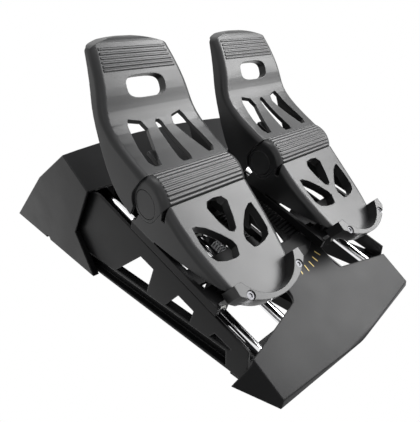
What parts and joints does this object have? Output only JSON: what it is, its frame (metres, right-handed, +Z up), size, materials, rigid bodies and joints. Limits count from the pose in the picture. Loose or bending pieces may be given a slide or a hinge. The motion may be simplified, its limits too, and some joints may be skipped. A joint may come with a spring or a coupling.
{
  "type": "flight simulator rudder pedals",
  "caption": "Black plastic flight simulator rudder pedals that slide on sloping chrome rails, with tilting toe brakes, a wedge foot plate and a low arched housing.",
  "frame": {"origin": "middle of the footprint on the floor", "axes": "+X to the right of the person whose feet are on the pedals, +Y forwards away from the person, +Z up"},
  "size_m": [0.2576, 0.493, 0.2549],
  "materials": {
    "base_plastic": "fine spark-eroded grain",
    "pedal_plastic": "fine grain, satin",
    "inner_plastic": "plain moulded",
    "rail_steel": "polished",
    "pin_steel": "ground",
    "screw_steel": "black oxide",
    "spring_steel": "drawn wire",
    "bush_plastic": "self-lubricating, satin",
    "bush_bronze": "sintered",
    "rocker_paint": "powder coat",
    "foot_rubber": "matt",
    "mark_ink": "printed, satin",
    "board_green": "solder mask",
    "sensor_black": "moulded",
    "magnet_grey": "nickel plated"
  },
  "bodies": {
    "base": {"front_plate": "base_plastic", "scale_marks": "mark_ink", "side_frame_left": "base_plastic", "side_frame_right": "base_plastic", "centre_spine": "inner_plastic", "centre_deck": "inner_plastic", "rear_housing": "base_plastic", "housing_floor": "inner_plastic", "rail_left_outer": "rail_steel", "rail_left_inner": "rail_steel", "rail_right_inner": "rail_steel", "rail_right_outer": "rail_steel", "rail_sockets_front": "inner_plastic", "rail_sockets_rear": "inner_plastic", "rocker_pivot_bolt": "pin_steel", "rudder_sensor": "sensor_black", "control_board": "board_green", "rubber_feet": "foot_rubber", "housing_screws": "screw_steel", "frame_screws": "screw_steel", "spring_anchors": "inner_plastic", "centring_spring_left": "spring_steel", "centring_spring_right": "spring_steel"},
    "rocker": {"rocker_arm": "rocker_paint", "rocker_bush": "bush_bronze"},
    "left_slider": {"left_carriage": "inner_plastic", "left_rail_bushes": "bush_plastic", "left_link_pin": "pin_steel", "left_heel_plate": "pedal_plastic", "left_heel_plate_screws": "screw_steel", "left_heel_stop": "pedal_plastic", "left_heel_stop_screws": "screw_steel", "left_hinge_pin": "pin_steel", "left_brake_sensor": "sensor_black"},
    "right_slider": {"right_carriage": "inner_plastic", "right_rail_bushes": "bush_plastic", "right_link_pin": "pin_steel", "right_heel_plate": "pedal_plastic", "right_heel_plate_screws": "screw_steel", "right_heel_stop": "pedal_plastic", "right_heel_stop_screws": "screw_steel", "right_hinge_pin": "pin_steel", "right_brake_sensor": "sensor_black"},
    "left_toe_unit": {"left_toe_plate": "pedal_plastic", "left_hinge_barrel": "pedal_plastic", "left_toe_screws": "screw_steel", "left_pivot_caps": "pedal_plastic", "left_toe_magnet": "magnet_grey", "left_toe_spring": "spring_steel"},
    "right_toe_unit": {"right_toe_plate": "pedal_plastic", "right_hinge_barrel": "pedal_plastic", "right_toe_screws": "screw_steel", "right_pivot_caps": "pedal_plastic", "right_toe_magnet": "magnet_grey", "right_toe_spring": "spring_steel"}
  },
  "joints": [
    {"name": "left_slide", "type": "slide", "parent": "base", "child": "left_slider", "axis": [0, 0.9455, 0.3256], "range_m": [-0.035, 0.035], "stiffness_N_per_m": 500},
    {"name": "right_slide", "type": "slide", "parent": "base", "child": "right_slider", "axis": [0, 0.9455, 0.3256], "range_m": [-0.0355, 0.0355]},
    {"name": "rocker_turn", "type": "hinge", "parent": "base", "child": "rocker", "pos_m": [0, -0.12679, 0.03056], "axis": [0, -0.3256, 0.9455], "range_deg": [-25.4, 25.4], "deforming": ["centring_spring_left", "centring_spring_right"]},
    {"name": "left_brake", "type": "hinge", "parent": "left_slider", "child": "left_toe_unit", "pos_m": [-0.075, -0.094, 0.129], "axis": [-1, 0, 0], "range_deg": [0, 12], "stiffness_Nm_per_rad": 5, "springref_deg": -3.44, "deforming": ["left_toe_spring"]},
    {"name": "right_brake", "type": "hinge", "parent": "right_slider", "child": "right_toe_unit", "pos_m": [0.075, -0.094, 0.129], "axis": [-1, 0, 0], "range_deg": [0, 12], "stiffness_Nm_per_rad": 5, "springref_deg": -3.44, "deforming": ["right_toe_spring"]}
  ],
  "couplings": [
    {"joint": "right_slide", "follows": "left_slide", "ratio": -1},
    {"joint": "rocker_turn", "follows": "left_slide", "rad_per_m": -12.467}
  ]
}
